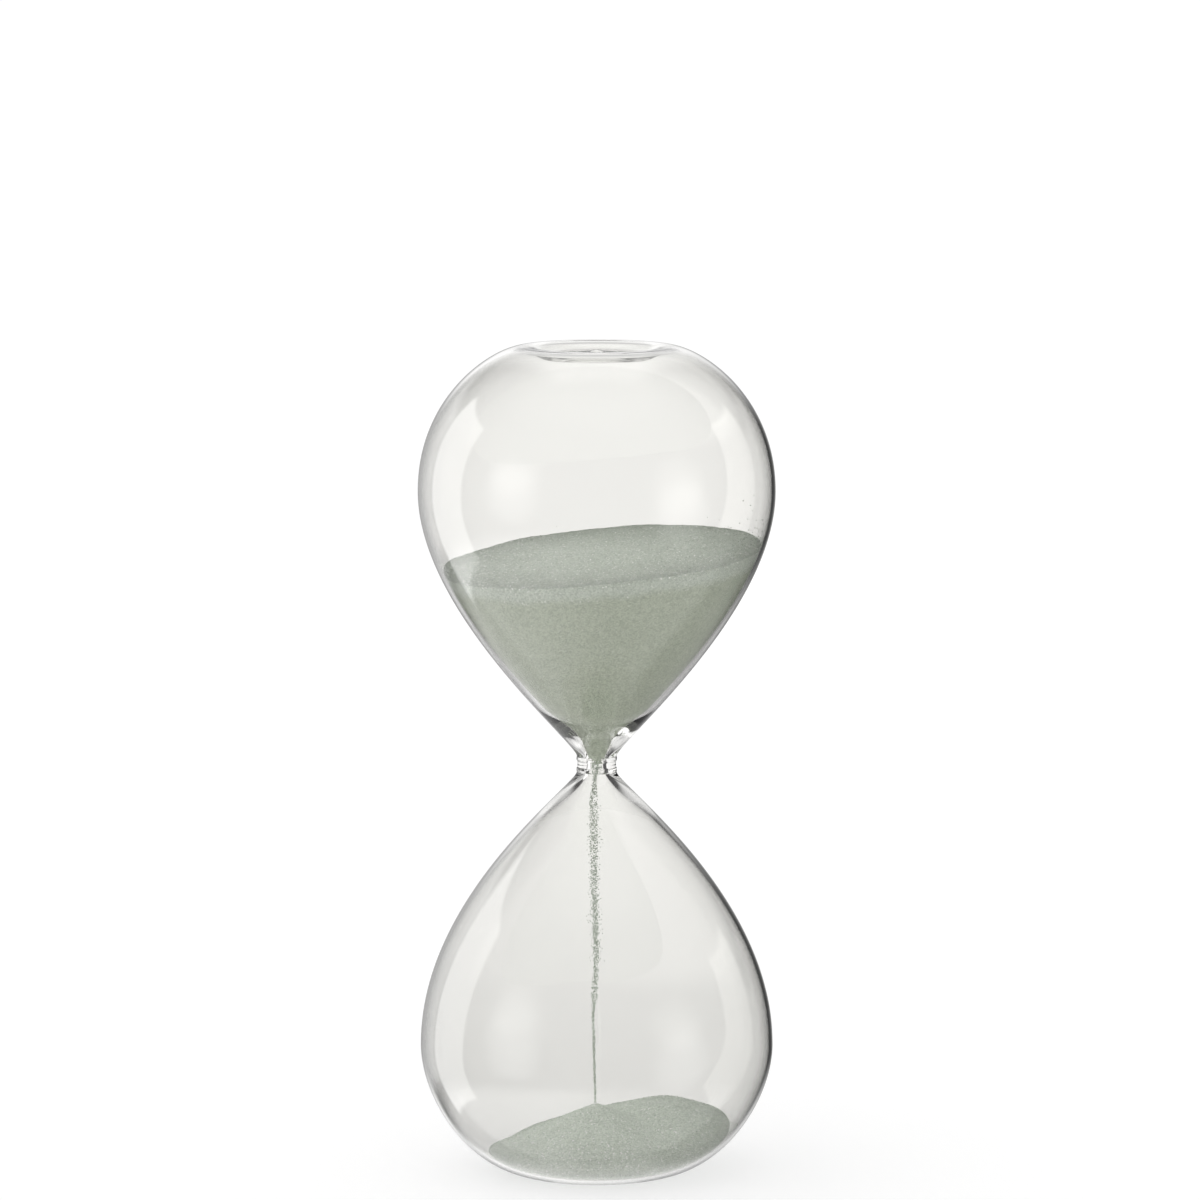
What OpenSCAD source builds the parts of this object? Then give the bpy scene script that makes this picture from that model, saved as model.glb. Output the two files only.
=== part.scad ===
// Hourglass of clear blown glass, without a frame. Two drawn bulbs are fused to
// a short throat tube, and the sand runs from the upper bulb to the lower one.
// Millimetres. The origin is the centre of the ring it stands on, and +Z is up.

/* [Upper bulb] */
// Height of the upper bulb, from the throat tube to the top ring
upper_h = 104.6; // [85:0.2:130]
// Outside diameter at the widest place
upper_belly_d = 90.6; // [72:0.2:110]
// Height of the shoulder, from the widest place to the top ring
upper_shoulder_h = 36.8; // [28:0.1:42]
// How long the flank keeps near the width of the belly
upper_flank_fullness = 0.45; // [0.35:0.01:0.6]
// How long the shoulder keeps near the width of the belly
upper_shoulder_fullness = 0.67; // [0.4:0.01:0.75]
// How flat the shoulder comes in to the top ring
upper_end_fullness = 0.26; // [0.15:0.01:0.6]
// Middle diameter of the top ring
upper_ring_d = 36.6; // [30:0.2:46]

/* [Lower bulb] */
// Height of the lower bulb, from the ring it stands on to the throat tube
lower_h = 103; // [85:0.2:130]
// Outside diameter at the widest place
lower_belly_d = 90; // [72:0.2:110]
// Height of the shoulder, from the standing ring to the widest place
lower_shoulder_h = 32.7; // [27:0.1:42]
// How long the flank keeps near the width of the belly
lower_flank_fullness = 0.54; // [0.35:0.01:0.6]
// How long the shoulder keeps near the width of the belly
lower_shoulder_fullness = 0.45; // [0.4:0.01:0.75]
// How flat the shoulder comes in to the standing ring
lower_end_fullness = 0.5; // [0.15:0.01:0.6]
// Middle diameter of the ring that the hourglass stands on
lower_ring_d = 35.6; // [30:0.2:46]

/* [Glass] */
// Thickness of the glass at the belly
belly_wall = 0.9; // [0.7:0.1:1.6]
// Thickness of the glass, across, where the throat has opened out into the bulb
flare_wall = 1.9; // [1.6:0.1:2.6]
// Thickness of the glass at the standing ring and the top ring
ring_wall = 1; // [0.8:0.1:2]
// Thickness of the glass in the pushed-in end
end_wall = 1.4; // [1.2:0.1:3]
// Width of the flat on each ring
ring_flat = 1.2; // [0.6:0.1:2]
// Depth to which each end is pushed in
recess_depth = 1.7; // [1.5:0.1:3]
// Diameter of the flat middle of the pushed-in end
recess_floor_d = 22; // [16:1:25]

/* [Neck] */
// Length of the throat tube between the two bulbs
neck_l = 4; // [3:0.1:6]
// Outside diameter where the tube meets the bulbs
neck_d = 10.1; // [8:0.1:14]
// How far the tube is drawn in at its middle
neck_waist = 0.15; // [0:0.05:0.4]
// Radius of the weld bead at each end of the tube
bead_r = 0.6; // [0.3:0.05:0.7]
// How far the weld bead stands out
bead_proud = 0.1; // [0.1:0.05:0.3]
// How far the outside of a bulb runs straight before it opens out
neck_run = 3.3; // [2:0.1:6]

/* [Throat] */
// Bore that meters the sand
throat_d = 3.3; // [2.6:0.1:4]
// Bore at each end of the throat tube
throat_mouth_d = 4.3; // [4:0.1:5.2]
// How far the bore runs on into a bulb before it opens out
throat_run = 3.5; // [2:0.1:7]
// How long the throat keeps the slope of the flank before it reaches it
funnel_ease = 9; // [6:0.5:11]

/* [Fill seal] */
// Hole through which the sand was poured in
fill_hole_d = 3.6; // [2.6:0.1:3.8]
// Diameter of the melted pip that closes it
pip_d = 8; // [5:0.5:12]
// Height of the pip
pip_h = 0.8; // [0.6:0.1:1.4]

/* [Sand] */
// Room between the sand and the glass, half a grain
sand_gap = 0.15; // [0.1:0.01:0.3]
// Height of the upper sand on the axis, from the middle of the throat
sand_level = 53; // [25:1:65]
// Slope of the upper sand, up to the right
sand_slope_x = 5; // [0:0.5:12]
// Slope of the upper sand, up to the back
sand_slope_y = 3; // [0:0.5:12]
// Height of the heap's tip above the standing ring
heap_h = 17; // [10:0.1:30]
// Slope of the heap under the stream
heap_slope = 25; // [15:0.5:34]
// Height of the settled bank behind the heap
bank_h = 14.8; // [8:0.1:28]
// Slope of the bank
bank_slope = 17; // [10:0.5:30]
// Radius of the bank's round top
bank_top_r = 6; // [1:0.5:10]
// How far right of the axis the bank's top lies
bank_x = 17; // [0:1:22]
// How far behind the axis the bank's top lies
bank_y = 14; // [0:1:22]

/* [Falling sand] */
// Diameter of the stream where it leaves the throat
stream_top_d = 2; // [1:0.1:2.2]
// Diameter of the stream where it lands
stream_foot_d = 1.1; // [0.6:0.1:2]
// Number of loose grains that fall beside the stream
grain_count = 42; // [10:1:60]
// Size of a loose grain
grain_d = 0.4; // [0.3:0.05:0.6]
// Height between one loose grain and the next
grain_pitch = 1; // [0.8:0.1:1.2]
// Distance below the throat at which the first loose grain falls
grain_start = 8; // [7:0.5:12]
// Room between the stream and the nearest loose grain
grain_gap = 0.4; // [0.2:0.05:1]
// Width of the shell round the stream in which the loose grains fall
grain_spread = 1.4; // [0.5:0.1:2]

/* [Hidden] */
$fn = 96;

// Steps along the long and the short curves of an outline
LONG_STEPS = 28;
SHORT_STEPS = 10;
// Step along the flank at which the throat has opened out into the bulb
FLARE_STEP = 10;
// Turn from one loose grain to the next, so that they never line up
GOLDEN_ANGLE = 137.5;
GRAIN_FN = 16;
// Turn of each loose grain's distance from the stream, in steps of this share
GRAIN_SHUFFLE = 0.618;

throat_z = lower_h + neck_l / 2;
neck_r = neck_d / 2;
mouth_r = throat_mouth_d / 2;
bore_r = throat_d / 2;

// Which values belong to a bulb: height, belly diameter, shoulder height,
// flank, shoulder and end fullness, ring diameter
UPPER = [upper_h, upper_belly_d, upper_shoulder_h,
         upper_flank_fullness, upper_shoulder_fullness, upper_end_fullness, upper_ring_d];
LOWER = [lower_h, lower_belly_d, lower_shoulder_h,
         lower_flank_fullness, lower_shoulder_fullness, lower_end_fullness, lower_ring_d];

GLASS = [0.86, 0.92, 0.9, 0.35];
SAND = [0.66, 0.72, 0.66];

// Points of a cubic curve from a to d, without its first point
function curve(a, b, c, d, steps) = [
    for (i = [1 : steps])
        let (t = i / steps, u = 1 - t)
        u * u * u * a + 3 * u * u * t * b + 3 * u * t * t * c + t * t * t * d
];

// A bulb's outlines are [radius, height above the throat tube's face].

function belly_z(bulb) = bulb[0] - bulb[2];

// Outside of the flank, which starts straight along the axis and ends upright
function flank(bulb) =
    let (belly_r = bulb[1] / 2)
    curve([neck_r, 0], [neck_r, neck_run],
          [belly_r, belly_z(bulb) * (1 - bulb[3])], [belly_r, belly_z(bulb)], LONG_STEPS);

// From the belly over the shoulder to a ring
function shoulder(bulb, belly_r, ring_r, top) =
    let (rise = top - belly_z(bulb))
    curve([belly_r, belly_z(bulb)], [belly_r, belly_z(bulb) + rise * bulb[4]],
          [ring_r + (belly_r - ring_r) * bulb[5], top], [ring_r, top], LONG_STEPS);

// Inside of the flank, whose wall thins out evenly towards the belly
function thin_flank(bulb, gap) =
    let (outer = flank(bulb), span = LONG_STEPS - FLARE_STEP)
    [for (i = [FLARE_STEP : LONG_STEPS])
        let (left = (LONG_STEPS - i) / span,
             wall = belly_wall + (flare_wall - belly_wall) * left * left)
        outer[i - 1] - [wall + gap, 0]];

// Inside of the throat, from its mouth out to the start of the thin flank
function funnel(start_r, thin) =
    let (way = thin[1] - thin[0],
         ease = way * funnel_ease / norm(way))
    curve([start_r, 0], [start_r, throat_run], thin[0] - ease, thin[0], SHORT_STEPS);

// From a ring down the side of the pushed-in end to its flat middle
function pushed_in(ring_r, top, depth) =
    let (floor_r = recess_floor_d / 2,
         half = (ring_r - floor_r) / 2)
    curve([ring_r, top], [ring_r - half, top],
          [floor_r + half, top - depth], [floor_r, top - depth], SHORT_STEPS);

// Outside of a bulb, to the flat middle of its end
function outside(bulb) =
    let (outer_r = (bulb[6] + ring_flat) / 2,
         inner_r = (bulb[6] - ring_flat) / 2)
    concat(
        [[neck_r, 0]],
        flank(bulb),
        shoulder(bulb, bulb[1] / 2, outer_r, bulb[0]),
        [[inner_r, bulb[0]]],
        pushed_in(inner_r, bulb[0], recess_depth)
    );

// Inside of a bulb, drawn in by the gap that the sand keeps from the glass
function inside(bulb, gap = 0) =
    let (thin = thin_flank(bulb, gap),
         outer_r = (bulb[6] + ring_flat) / 2,
         inner_r = (bulb[6] - ring_flat) / 2,
         top = bulb[0] - ring_wall - gap)
    concat(
        [[mouth_r - gap, 0]],
        funnel(mouth_r - gap, thin),
        [for (i = [1 : len(thin) - 1]) thin[i]],
        shoulder(bulb, bulb[1] / 2 - belly_wall - gap, outer_r, top),
        [[inner_r, top]],
        pushed_in(inner_r, top, recess_depth + end_wall - ring_wall)
    );

// Puts a bulb that opens downwards on the throat tube, or hangs it below
module above_neck() {
    translate([0, 0, throat_z + neck_l / 2]) children();
}
module below_neck() {
    translate([0, 0, throat_z - neck_l / 2]) mirror([0, 0, 1]) children();
}

// Turns an outline that lacks only its closing points on the axis
module turned(outline) {
    ends = [[0, outline[len(outline) - 1][1]], [0, 0]];
    rotate_extrude() polygon(concat(outline, ends));
}

module glass_bulb(bulb) {
    difference() {
        turned(outside(bulb));
        turned(inside(bulb));
    }
}

module upper_bulb() {
    color(GLASS) above_neck() difference() {
        glass_bulb(UPPER);
        translate([0, 0, upper_h - recess_depth - 2 * end_wall])
            cylinder(h = 3 * end_wall, d = fill_hole_d);
    }
}

module lower_bulb() {
    color(GLASS) below_neck() glass_bulb(LOWER);
}

// Outline of the bore: narrowest at the middle, open to the mouths
function bore_outline(r_middle, r_end, half) = [
    for (i = [-SHORT_STEPS : SHORT_STEPS])
        let (s = i / SHORT_STEPS)
        [r_middle + (r_end - r_middle) * s * s, half * s]
];

module neck_tube() {
    half = neck_l / 2;
    bore = bore_outline(bore_r, mouth_r, half);
    waist = bore_outline(neck_r - neck_waist, neck_r, half);
    color(GLASS) translate([0, 0, throat_z]) union() {
        rotate_extrude() polygon(concat(bore, [for (i = [len(waist) - 1 : -1 : 0]) waist[i]]));
        for (side = [-1, 1])
            translate([0, 0, side * (half - bead_r)])
                rotate_extrude() translate([neck_r + bead_proud - bead_r, 0]) circle(r = bead_r);
    }
}

// The plug fills the hole, and the pip is what the flame left on top of it
module fill_seal() {
    pip_r = pip_d / 2;
    color(GLASS) above_neck() {
        translate([0, 0, upper_h - recess_depth - end_wall]) rotate_extrude() union() {
            square([fill_hole_d / 2, end_wall]);
            polygon(concat(
                [[0, end_wall], [pip_r, end_wall]],
                curve([pip_r, end_wall], [pip_r * 0.55, end_wall],
                      [pip_r * 0.45, end_wall + pip_h], [0, end_wall + pip_h], SHORT_STEPS)
            ));
        }
    }
}

// The charge still to run: the inside of the upper bulb and of the throat tube,
// up to a sloping surface
module upper_sand() {
    over = upper_belly_d;
    color(SAND) union() {
        above_neck() difference() {
            turned(inside(UPPER, sand_gap));
            translate([0, 0, sand_level - neck_l / 2])
                rotate([sand_slope_y, -sand_slope_x, 0])
                translate([-over, -over, 0]) cube([2 * over, 2 * over, upper_h]);
        }
        translate([0, 0, throat_z]) rotate_extrude() polygon(concat(
            [[0, -neck_l / 2]],
            bore_outline(bore_r - sand_gap, mouth_r - sand_gap, neck_l / 2),
            [[0, neck_l / 2]]
        ));
    }
}

module sand_stream() {
    color(SAND) translate([0, 0, heap_h])
        cylinder(h = lower_h - heap_h, d1 = stream_foot_d, d2 = stream_top_d);
}

// Loose grains on a spiral round the stream
module falling_grains() {
    near = stream_top_d / 2 + grain_gap + grain_d / 2;
    color(SAND)
    for (i = [0 : grain_count - 1]) {
        share = i * GRAIN_SHUFFLE - floor(i * GRAIN_SHUFFLE);
        rotate([0, 0, i * GOLDEN_ANGLE])
            translate([near + grain_spread * share, 0, lower_h - grain_start - i * grain_pitch])
            sphere(d = grain_d, $fn = GRAIN_FN);
    }
}

// A mound of sand that stands on the plane of the ring
module mound(height, slope, top_r) {
    cylinder(h = height, r1 = top_r + height / tan(slope), r2 = top_r);
}

// What has run through: a fresh heap under the stream, in front of a settled bank
module lower_sand() {
    color(SAND) intersection() {
        below_neck() turned(inside(LOWER, sand_gap));
        union() {
            mound(heap_h, heap_slope, stream_foot_d / 2);
            translate([bank_x, bank_y, 0]) mound(bank_h, bank_slope, bank_top_r);
        }
    }
}

upper_bulb();
lower_bulb();
neck_tube();
fill_seal();
upper_sand();
sand_stream();
falling_grains();
lower_sand();
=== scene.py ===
"""An hourglass of clear blown glass with pale green sand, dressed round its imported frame.

The glass is four fused pieces, turned from the same outlines as the frame's. The sand lies in
them as two poured bodies, a thread that falls between them, and a cloud of loose grains.
"""
import logging
import math
import random
from collections.abc import Callable
from dataclasses import dataclass, field
from enum import Enum
from typing import Any

import bpy
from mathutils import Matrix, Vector, noise


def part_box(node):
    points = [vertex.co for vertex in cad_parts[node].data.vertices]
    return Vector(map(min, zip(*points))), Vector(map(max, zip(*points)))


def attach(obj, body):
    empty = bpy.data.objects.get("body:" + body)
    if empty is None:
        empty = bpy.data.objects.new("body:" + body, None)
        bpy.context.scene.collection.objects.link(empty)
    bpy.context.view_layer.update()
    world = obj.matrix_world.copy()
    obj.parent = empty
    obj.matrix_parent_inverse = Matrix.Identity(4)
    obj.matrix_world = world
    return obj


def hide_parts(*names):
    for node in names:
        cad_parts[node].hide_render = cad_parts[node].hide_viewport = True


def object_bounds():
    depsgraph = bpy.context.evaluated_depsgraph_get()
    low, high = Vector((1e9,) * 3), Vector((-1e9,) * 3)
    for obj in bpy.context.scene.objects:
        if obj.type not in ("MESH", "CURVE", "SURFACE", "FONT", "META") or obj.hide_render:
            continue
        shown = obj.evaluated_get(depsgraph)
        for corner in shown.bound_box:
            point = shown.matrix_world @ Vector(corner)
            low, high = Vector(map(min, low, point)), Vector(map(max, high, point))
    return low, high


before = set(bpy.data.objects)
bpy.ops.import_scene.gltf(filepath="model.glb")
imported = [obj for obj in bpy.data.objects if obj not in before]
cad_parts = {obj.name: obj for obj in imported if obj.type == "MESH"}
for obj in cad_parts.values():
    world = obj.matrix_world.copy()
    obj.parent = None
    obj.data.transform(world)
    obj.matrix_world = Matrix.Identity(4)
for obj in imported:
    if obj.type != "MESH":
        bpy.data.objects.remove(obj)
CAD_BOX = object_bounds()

LOG = logging.getLogger("hourglass")
MM = 0.001
SLACK = 0.01 * MM
FULL_TURN = 2 * math.pi
ROOT = "hourglass"
LOOSE = "loose_grains"
GLASS_SLOT = "clear_glass"
SAND_SLOT = "sage_sand"

Point = tuple[float, float]
Colour = tuple[float, float, float]
Outline = list[Point]
Settings = dict[str, Any]

BLACK: Colour = (0.0, 0.0, 0.0)
WHITE: Colour = (1.0, 1.0, 1.0)


# --- Shader maths -------------------------------------------------------------------------------

class Number:
    """A number in a node tree: an expression on it adds the Math nodes."""

    def __init__(self, bench: "NodeBench", socket: bpy.types.NodeSocket) -> None:
        """Wraps one output socket of a tree."""
        self.bench = bench
        self.socket = socket

    def __add__(self, other: Any) -> "Number":
        """Adds."""
        return self.bench.math("ADD", self, other)

    __radd__ = __add__

    def __sub__(self, other: Any) -> "Number":
        """Subtracts."""
        return self.bench.math("SUBTRACT", self, other)

    def __rsub__(self, other: Any) -> "Number":
        """Subtracts from a plain number."""
        return self.bench.math("SUBTRACT", other, self)

    def __mul__(self, other: Any) -> "Number":
        """Multiplies."""
        return self.bench.math("MULTIPLY", self, other)

    __rmul__ = __mul__

    def between(self, low: float, high: float, soft: float) -> "Number":
        """Returns 1 from low to high and 0 outside, with edges as wide as soft."""
        return self.rise(low - soft, low + soft) * (1 - self.rise(high - soft, high + soft))

    def rise(self, low: float, high: float) -> "Number":
        """Returns a smooth step from 0 at low to 1 at high."""
        made = self.bench.node(
            "ShaderNodeMapRange", {"interpolation_type": "SMOOTHSTEP"},
            {"Value": self, "From Min": low, "From Max": high},
        )
        return Number(self.bench, made.outputs[0])


class NodeBench:
    """Adds nodes to one tree, which it clears first."""

    def __init__(self, tree: bpy.types.NodeTree) -> None:
        """Takes over a tree."""
        self.tree = tree
        tree.nodes.clear()

    def node(self, kind: str, settings: Settings | None = None,
             sockets: dict[Any, Any] | None = None) -> bpy.types.Node:
        """Adds one node.

        Args:
            kind: The node's type.
            settings: Its own settings, which are set first. "stops" fills a colour ramp.
            sockets: Values or links for its inputs, by name or number.

        Returns:
            The node.
        """
        made = self.tree.nodes.new(kind)
        for name, value in (settings or {}).items():
            if name == "stops":
                self._fill_ramp(made.color_ramp, value)
            else:
                setattr(made, name, value)
        for name, value in (sockets or {}).items():
            source = value.socket if isinstance(value, Number) else value
            if isinstance(source, bpy.types.NodeSocket):
                self.tree.links.new(source, made.inputs[name])
            else:
                made.inputs[name].default_value = source
        return made

    def number(self, kind: str, settings: Settings | None = None,
               sockets: dict[Any, Any] | None = None, output: Any = 0) -> Number:
        """Adds one node and returns one of its outputs as a number."""
        return Number(self, self.node(kind, settings, sockets).outputs[output])

    def math(self, operation: str, *values: Any) -> Number:
        """Returns the result of one Math node.

        Args:
            operation: The Math node's operation.
            values: Its inputs, as numbers or wrapped sockets.
        """
        return self.number("ShaderNodeMath", {"operation": operation}, dict(enumerate(values)))

    def axes(self, place: bpy.types.NodeSocket) -> tuple[Number, Number, Number]:
        """Returns the x, y and z of a vector."""
        split = self.node("ShaderNodeSeparateXYZ", {}, {"Vector": place})
        return tuple(Number(self, split.outputs[axis]) for axis in "XYZ")

    def blend(self, share: Any, low: Any, high: Any, blend_type: str = "MIX") -> bpy.types.NodeSocket:
        """Returns a mix of two colours.

        Args:
            share: 0 for the first colour and 1 for the second.
            low: The first colour, as a socket or red, green and blue.
            high: The second colour, likewise.
            blend_type: How the second is laid on the first.
        """
        low, high = (colour if isinstance(colour, bpy.types.NodeSocket) else (*colour, 1.0)
                     for colour in (low, high))
        made = self.node("ShaderNodeMix", {"data_type": "RGBA", "blend_type": blend_type},
                         {0: share, 6: low, 7: high})
        return made.outputs[2]

    @staticmethod
    def _fill_ramp(ramp: bpy.types.ColorRamp, stops: list[tuple[float, tuple[float, ...]]]) -> None:
        """Gives a colour ramp its stops, each a place and a colour."""
        while len(ramp.elements) < len(stops):
            ramp.elements.new(1)
        for element, (place, colour) in zip(ramp.elements, stops):
            element.position = place
            element.color = (*colour, 1)


def new_material(name: str) -> tuple[bpy.types.Material, NodeBench]:
    """Returns an empty material and the bench for its nodes."""
    material = bpy.data.materials.new(name)
    material.use_nodes = True
    return material, NodeBench(material.node_tree)


# --- Finishes -----------------------------------------------------------------------------------

@dataclass(frozen=True)
class ClearGlass:
    """Fire-polished blown glass, a little wavy, and greyer in patches towards the bottom."""

    high_tint: Colour = (0.982, 0.978, 0.96)
    low_tint: Colour = (0.9, 0.897, 0.88)
    high_tint_z: float = 118 * MM
    low_tint_z: float = 8 * MM
    ior: float = 1.49
    wave_length: float = 16 * MM
    wave_height: float = 0.012 * MM
    smudge_length: float = 11 * MM
    smudge: float = 0.035
    smudge_from: float = 0.72
    smudge_to: float = 0.95
    detail: float = 5.0
    greying: float = 0.8
    greying_patches: float = 0.4

    def material(self) -> bpy.types.Material:
        """Returns the glass."""
        material, bench = new_material("clear_blown_glass")
        place = bench.node("ShaderNodeTexCoord").outputs["Object"]
        wave = bench.number("ShaderNodeTexNoise", {}, {"Vector": place, "Scale": 1 / self.wave_length})
        bump = bench.node("ShaderNodeBump", {}, {"Height": wave, "Distance": self.wave_height})
        smudge = bench.number("ShaderNodeTexNoise", {}, {
            "Vector": place, "Scale": 1 / self.smudge_length, "Detail": self.detail,
        })
        _, _, height = bench.axes(place)
        # Greyer in patches towards the bottom, fading out just above the throat.
        greying = (1 - height.rise(self.low_tint_z, self.high_tint_z)) * (self.greying + smudge * self.greying_patches)
        shader = bench.node("ShaderNodeBsdfPrincipled", {}, {
            "Base Color": bench.blend(greying, self.high_tint, self.low_tint),
            "Roughness": smudge.rise(self.smudge_from, self.smudge_to) * self.smudge,
            "IOR": self.ior,
            "Transmission Weight": 1.0,
            "Normal": bump.outputs["Normal"],
        })
        bench.node("ShaderNodeOutputMaterial", {}, {"Surface": shader.outputs[0]})
        return material


@dataclass(frozen=True)
class FusedSeam:
    """The face where two pieces of glass have melted into one, and nothing is left to see."""

    def material(self) -> bpy.types.Material:
        """Returns a finish that light passes straight through."""
        material, bench = new_material("fused_seam")
        shader = bench.node("ShaderNodeBsdfPrincipled", {}, {"Alpha": 0.0, "IOR": 1.0})
        bench.node("ShaderNodeOutputMaterial", {}, {"Surface": shader.outputs[0]})
        return material


@dataclass(frozen=True)
class SageSand:
    """Fine dyed quartz sand: every grain has its own tone, and a few are bare, paler and glossier, with a
    painted glint that glows.

    Pressed against glass it has painted shade, darker and more olive, except in a band just under its
    rim that is painted a little lighter. At the foot it is painted lighter, for light that thick glass
    brings in from the board.
    """

    grain: float = 0.34 * MM
    patch: float = 9 * MM
    dark: Colour = (0.49, 0.55, 0.475)
    sage: Colour = (0.67, 0.73, 0.65)
    pale: Colour = (0.82, 0.88, 0.8)
    bare: Colour = (0.97, 0.98, 0.96)
    # Painted shade: multiplies the sand pressed against the glass below the band under the rim.
    packed_shade: Colour = (0.87, 0.88, 0.81)
    bare_share: float = 0.035
    grain_tone: float = 0.7
    patch_tone: float = 0.3
    sage_tone: float = 0.45
    roughness: float = 0.9
    bare_gloss: float = 0.7
    relief: float = 0.1 * MM
    # Painted glint: how strongly the bare grains glow.
    painted_glint_glow: float = 0.27
    rim_z: float = 158 * MM
    rim_slope: tuple[float, float] = (0.0875, 0.052)
    rim_depth: float = 3 * MM
    rim_top: float = 0.6 * MM
    rim_end: float = 3.6 * MM
    rim_soft: float = 0.8 * MM
    # Painted highlight: lifts the band just under the rim.
    rim: Colour = (1.04, 1.04, 1.04)
    packed_dullness: float = 0.85
    rim_dullness: float = 0.7
    foot_z: float = 9 * MM
    foot_end_z: float = 30 * MM
    # Painted light: lifts the sand at the foot of the hourglass.
    foot: Colour = (1.27, 1.27, 1.27)

    def material(self, name: str, is_packed: bool) -> bpy.types.Material:
        """Returns the sand.

        Args:
            name: The material's name.
            is_packed: True where the sand is pressed against glass under a rim; this copy gets painted
                shade there and a painted highlight in the band just under the rim.
        """
        material, bench = new_material(name)
        place = bench.node("ShaderNodeTexCoord").outputs["Object"]
        cells = bench.node("ShaderNodeTexVoronoi", {}, {"Vector": place, "Scale": 1 / self.grain})
        lot = bench.node("ShaderNodeSeparateColor", {}, {"Color": cells.outputs["Color"]})
        tone = Number(bench, lot.outputs["Red"])
        draw = Number(bench, lot.outputs["Green"])
        patches = bench.number("ShaderNodeTexNoise", {}, {"Vector": place, "Scale": 1 / self.patch})
        mixed = tone * self.grain_tone + patches * self.patch_tone
        colour = bench.node("ShaderNodeValToRGB", {
            "stops": [(0.0, self.dark), (self.sage_tone, self.sage), (1.0, self.pale)],
        }, {"Fac": mixed}).outputs["Color"]
        # Bare grains: paler and glossier, and glowing as a painted glint.
        glint = draw.rise(1 - self.bare_share * 1.5, 1 - self.bare_share)
        x, y, z = bench.axes(place)
        if is_packed:
            slope_x, slope_y = self.rim_slope
            depth = self.rim_z + x * slope_x + y * slope_y - z
            # Painted shade below the band under the rim, with a ragged edge.
            ragged = depth + patches * self.rim_depth
            below = ragged.rise(self.rim_end, self.rim_end + self.rim_depth)
            # Painted highlight in the band just under the rim.
            rim = depth.between(self.rim_top, self.rim_end, self.rim_soft)
            # Painted shade below the band, then a painted highlight in the band, both multiplied on the
            # colour.
            colour = bench.blend(below, colour, self.packed_shade, "MULTIPLY")
            colour = bench.blend(rim, colour, self.rim, "MULTIPLY")
            # The painted glint is dimmed under the painted shade and in the band with the painted
            # highlight.
            glint = glint * (1 - below * self.packed_dullness) * (1 - rim * self.rim_dullness)
        else:
            # Painted light at the foot, where thick glass brings light in from the board.
            foot = 1 - z.rise(self.foot_z, self.foot_end_z)
            colour = bench.blend(foot, colour, self.foot, "MULTIPLY")
        bump = bench.node("ShaderNodeBump", {"invert": True}, {
            "Height": cells.outputs["Distance"], "Distance": self.relief,
        })
        shader = bench.node("ShaderNodeBsdfPrincipled", {}, {
            "Base Color": bench.blend(glint, colour, self.bare),
            "Roughness": self.roughness - glint * self.bare_gloss,
            "Normal": bump.outputs["Normal"],
            # Painted glint: the bare grains glow though nothing lights them.
            "Emission Color": bench.blend(glint, BLACK, WHITE),
            "Emission Strength": self.painted_glint_glow,
        })
        bench.node("ShaderNodeOutputMaterial", {}, {"Surface": shader.outputs[0]})
        return material


@dataclass(frozen=True)
class PaleFloor:
    """A plain white board that glows a little, like a lit table.

    What the glass mirrors is the studio and not the board, so its mirrored rays pass the board.
    """

    colour: Colour = (0.4, 0.4, 0.4)
    glow: float = 0.67
    grain: float = 40.0
    roughness: float = 0.7
    roughness_grain: float = 0.2

    def material(self) -> bpy.types.Material:
        """Returns the board's finish."""
        material, bench = new_material("pale_board")
        place = bench.node("ShaderNodeTexCoord").outputs["Object"]
        grain = bench.number("ShaderNodeTexNoise", {}, {"Vector": place, "Scale": self.grain})
        shader = bench.node("ShaderNodeBsdfPrincipled", {}, {
            "Base Color": (*self.colour, 1.0),
            "Roughness": self.roughness + grain * self.roughness_grain,
            "Specular IOR Level": 0.0,
            "Emission Color": (*WHITE, 1.0),
            "Emission Strength": self.glow,
        })
        passed = bench.node("ShaderNodeBsdfTransparent")
        either = bench.node("ShaderNodeMixShader", {}, {
            0: mirrored(bench), 1: shader.outputs[0], 2: passed.outputs[0],
        })
        bench.node("ShaderNodeOutputMaterial", {}, {"Surface": either.outputs[0]})
        return material


def mirrored(bench: NodeBench) -> Number:
    """Returns 1 for what the glass mirrors to the eye, and 0 for all other light."""
    bounces = bench.number("ShaderNodeLightPath", output="Glossy Depth")
    scatters = bench.number("ShaderNodeLightPath", output="Diffuse Depth")
    is_bounced = bench.math("GREATER_THAN", bounces, 0.5)
    is_scattered = bench.math("GREATER_THAN", scatters, 0.5)
    return is_bounced * (1 - is_scattered)


# --- Modelling ----------------------------------------------------------------------------------

def deselect_all() -> None:
    """Leaves object mode with nothing selected."""
    if bpy.context.mode != "OBJECT":
        bpy.ops.object.mode_set(mode="OBJECT")
    bpy.ops.object.select_all(action="DESELECT")


def curve(start: Point, leave: Point, arrive: Point, end: Point, steps: int) -> Outline:
    """Returns the points of a cubic curve, without its first.

    Args:
        start: Where it starts.
        leave: The handle that it leaves along.
        arrive: The handle that it arrives along.
        end: Where it ends.
        steps: Number of points.
    """
    points = []
    for i in range(1, steps + 1):
        t = i / steps
        u = 1 - t
        weights = (u ** 3, 3 * u * u * t, 3 * u * t * t, t ** 3)
        corners = (start, leave, arrive, end)
        points.append(tuple(sum(w * c[k] for w, c in zip(weights, corners)) for k in range(2)))
    return points


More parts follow.
